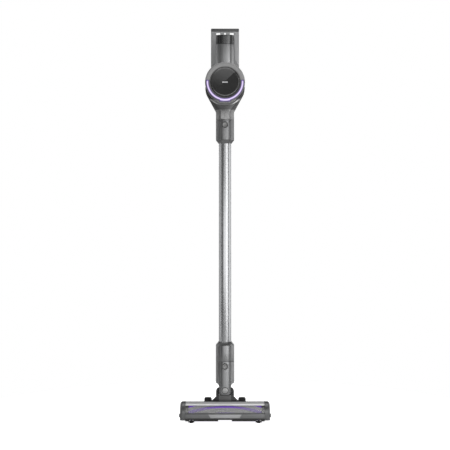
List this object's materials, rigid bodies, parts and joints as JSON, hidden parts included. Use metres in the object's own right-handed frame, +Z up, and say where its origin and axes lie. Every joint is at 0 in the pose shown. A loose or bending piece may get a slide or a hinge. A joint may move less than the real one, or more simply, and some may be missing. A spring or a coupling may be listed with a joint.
{
  "type": "cordless stick vacuum",
  "caption": "Upright cordless stick vacuum: jointed floor head with clear roller cover, metal wand, round motor body with lit half ring, dust cup, handle and battery tail.",
  "frame": {"origin": "on the floor, in the middle of the object's width and depth", "axes": "+Z up along the wand; -Y is the front, where the floor head points; +X is to the right seen from the front"},
  "size_m": [0.2588, 0.2364, 1.1325],
  "materials": {
    "shell": "gunmetal satin plastic with a fine metal fleck",
    "dark_shell": "dark grey satin plastic",
    "light_ring": "light grey satin plastic",
    "black_plastic": "black satin plastic",
    "black_gloss": "polished black",
    "anodised": "satin silver anodised, drawn along its length",
    "silver_trim": "silver-painted plastic",
    "steel": "turned steel",
    "rubber": "soft black rubber",
    "smoked_clear": "clear smoked polycarbonate",
    "lamp": "lavender light guide",
    "pile": "grey plush pile with violet bristle strips",
    "filter_media": "pleated paper",
    "circuit": "green circuit board"
  },
  "bodies": {
    "floor_head": {"head_housing": "dark_shell", "sole_plate": "black_plastic", "front_bumper": "shell", "bumper_trim": "silver_trim", "roller_cover": "smoked_clear", "squeegee": "rubber", "brush_motor": "steel", "drive_belt": "rubber", "end_cap_left": "shell", "end_cap_right": "shell", "brush_bearing_left": "steel", "brush_bearing_right": "steel", "rear_axle": "steel", "neck_bracket": "dark_shell", "tilt_pin": "steel"},
    "brush_roller": {"brush_core": "black_plastic", "brush_pile": "pile", "brush_pulley": "black_plastic", "brush_axle": "steel"},
    "motor_pulley": {"motor_pulley": "steel"},
    "wheel_left": {"wheel_hub_left": "black_plastic", "wheel_tyre_left": "rubber"},
    "wheel_right": {"wheel_hub_right": "black_plastic", "wheel_tyre_right": "rubber"},
    "front_roller_left": {"front_roller_left": "black_plastic"},
    "front_roller_right": {"front_roller_right": "black_plastic"},
    "side_roller_left": {"side_roller_left": "rubber"},
    "side_roller_right": {"side_roller_right": "rubber"},
    "neck_knuckle": {"neck_knuckle": "dark_shell"},
    "neck": {"neck_socket": "shell", "swivel_pin": "shell"},
    "socket_button": {"socket_button": "shell"},
    "wand": {"wand_lower_collar": "shell", "wand_tube": "anodised", "wand_cable_channel": "black_plastic", "wand_upper_collar": "shell"},
    "wand_button": {"wand_button": "shell"},
    "hand_unit": {"inlet_neck": "shell", "motor_housing": "shell", "front_ring": "light_ring", "display_disc": "black_gloss", "led_lens": "lamp", "fan_motor": "steel", "pleated_filter": "filter_media", "cyclone_shroud": "silver_trim", "dust_cup": "smoked_clear", "lid_pin": "steel", "handle_column": "shell", "control_cap": "black_gloss", "control_board": "circuit", "handle_grip": "shell", "tail_frame": "shell", "tail_cap": "black_plastic"},
    "impeller": {"motor_impeller": "black_plastic"},
    "cup_lid": {"cup_lid": "dark_shell"},
    "cup_latch": {"cup_latch": "black_plastic"},
    "power_button": {"power_button": "shell"},
    "trigger": {"trigger": "black_plastic"},
    "battery": {"battery_pack": "dark_shell"},
    "battery_latch": {"battery_latch": "black_plastic"}
  },
  "joints": [
    {"name": "brush_spin", "type": "hinge", "parent": "floor_head", "child": "brush_roller", "pos_m": [0, -0.08525, 0.027], "axis": [1, 0, 0], "continuous": true},
    {"name": "motor_pulley_spin", "type": "hinge", "parent": "floor_head", "child": "motor_pulley", "pos_m": [0.1, -0.02825, 0.025], "axis": [1, 0, 0], "continuous": true},
    {"name": "wheel_left_spin", "type": "hinge", "parent": "floor_head", "child": "wheel_left", "pos_m": [-0.049, 0.01775, 0.0275], "axis": [1, 0, 0], "continuous": true},
    {"name": "wheel_right_spin", "type": "hinge", "parent": "floor_head", "child": "wheel_right", "pos_m": [0.049, 0.01775, 0.0275], "axis": [1, 0, 0], "continuous": true},
    {"name": "front_roller_left_spin", "type": "hinge", "parent": "floor_head", "child": "front_roller_left", "pos_m": [-0.094, -0.11325, 0.0042], "axis": [1, 0, 0], "continuous": true},
    {"name": "front_roller_right_spin", "type": "hinge", "parent": "floor_head", "child": "front_roller_right", "pos_m": [0.094, -0.11325, 0.0042], "axis": [1, 0, 0], "continuous": true},
    {"name": "side_roller_left_spin", "type": "hinge", "parent": "floor_head", "child": "side_roller_left", "pos_m": [-0.1232, -0.08525, 0.0176], "axis": [0, 0, 1], "continuous": true},
    {"name": "side_roller_right_spin", "type": "hinge", "parent": "floor_head", "child": "side_roller_right", "pos_m": [0.1232, -0.08525, 0.0176], "axis": [0, 0, 1], "continuous": true},
    {"name": "head_tilt", "type": "hinge", "parent": "floor_head", "child": "neck_knuckle", "pos_m": [0, -0.02825, 0.075], "axis": [-1, 0, 0], "range_deg": [0, 80]},
    {"name": "wand_swivel", "type": "hinge", "parent": "neck_knuckle", "child": "neck", "pos_m": [0, -0.04025, 0.084], "axis": [0, 1, 0], "range_deg": [-35, 35]},
    {"name": "wand_pull", "type": "slide", "parent": "neck", "child": "wand", "axis": [0, 0, 1], "range_m": [0, 0.045]},
    {"name": "unit_pull", "type": "slide", "parent": "wand", "child": "hand_unit", "axis": [0, 0, 1], "range_m": [0, 0.036]},
    {"name": "socket_button_press", "type": "slide", "parent": "neck", "child": "socket_button", "axis": [0, 1, 0], "range_m": [0, 0.003], "stiffness_N_per_m": 600},
    {"name": "wand_button_press", "type": "slide", "parent": "wand", "child": "wand_button", "axis": [0, 1, 0], "range_m": [0, 0.003], "stiffness_N_per_m": 600},
    {"name": "impeller_spin", "type": "hinge", "parent": "hand_unit", "child": "impeller", "pos_m": [0, -0.0203, 0.957], "axis": [0, 1, 0], "continuous": true},
    {"name": "lid_open", "type": "hinge", "parent": "hand_unit", "child": "cup_lid", "pos_m": [0, 0.07425, 0.897], "axis": [-1, 0, 0], "range_deg": [0, 85]},
    {"name": "cup_latch_slide", "type": "slide", "parent": "hand_unit", "child": "cup_latch", "axis": [0, -1, 0], "range_m": [0, 0.004], "stiffness_N_per_m": 300},
    {"name": "power_button_press", "type": "slide", "parent": "hand_unit", "child": "power_button", "axis": [0, 0, -1], "range_m": [0, 0.0012], "stiffness_N_per_m": 800},
    {"name": "trigger_press", "type": "slide", "parent": "hand_unit", "child": "trigger", "axis": [0, 0, 1], "range_m": [0, 0.004], "stiffness_N_per_m": 500},
    {"name": "battery_slide", "type": "slide", "parent": "hand_unit", "child": "battery", "axis": [0, 1, 0], "range_m": [0, 0.034]},
    {"name": "battery_latch_press", "type": "slide", "parent": "battery", "child": "battery_latch", "axis": [0, -1, 0], "range_m": [0, 0.002], "stiffness_N_per_m": 500}
  ],
  "couplings": [
    {"joint": "motor_pulley_spin", "follows": "brush_spin", "ratio": 2}
  ]
}
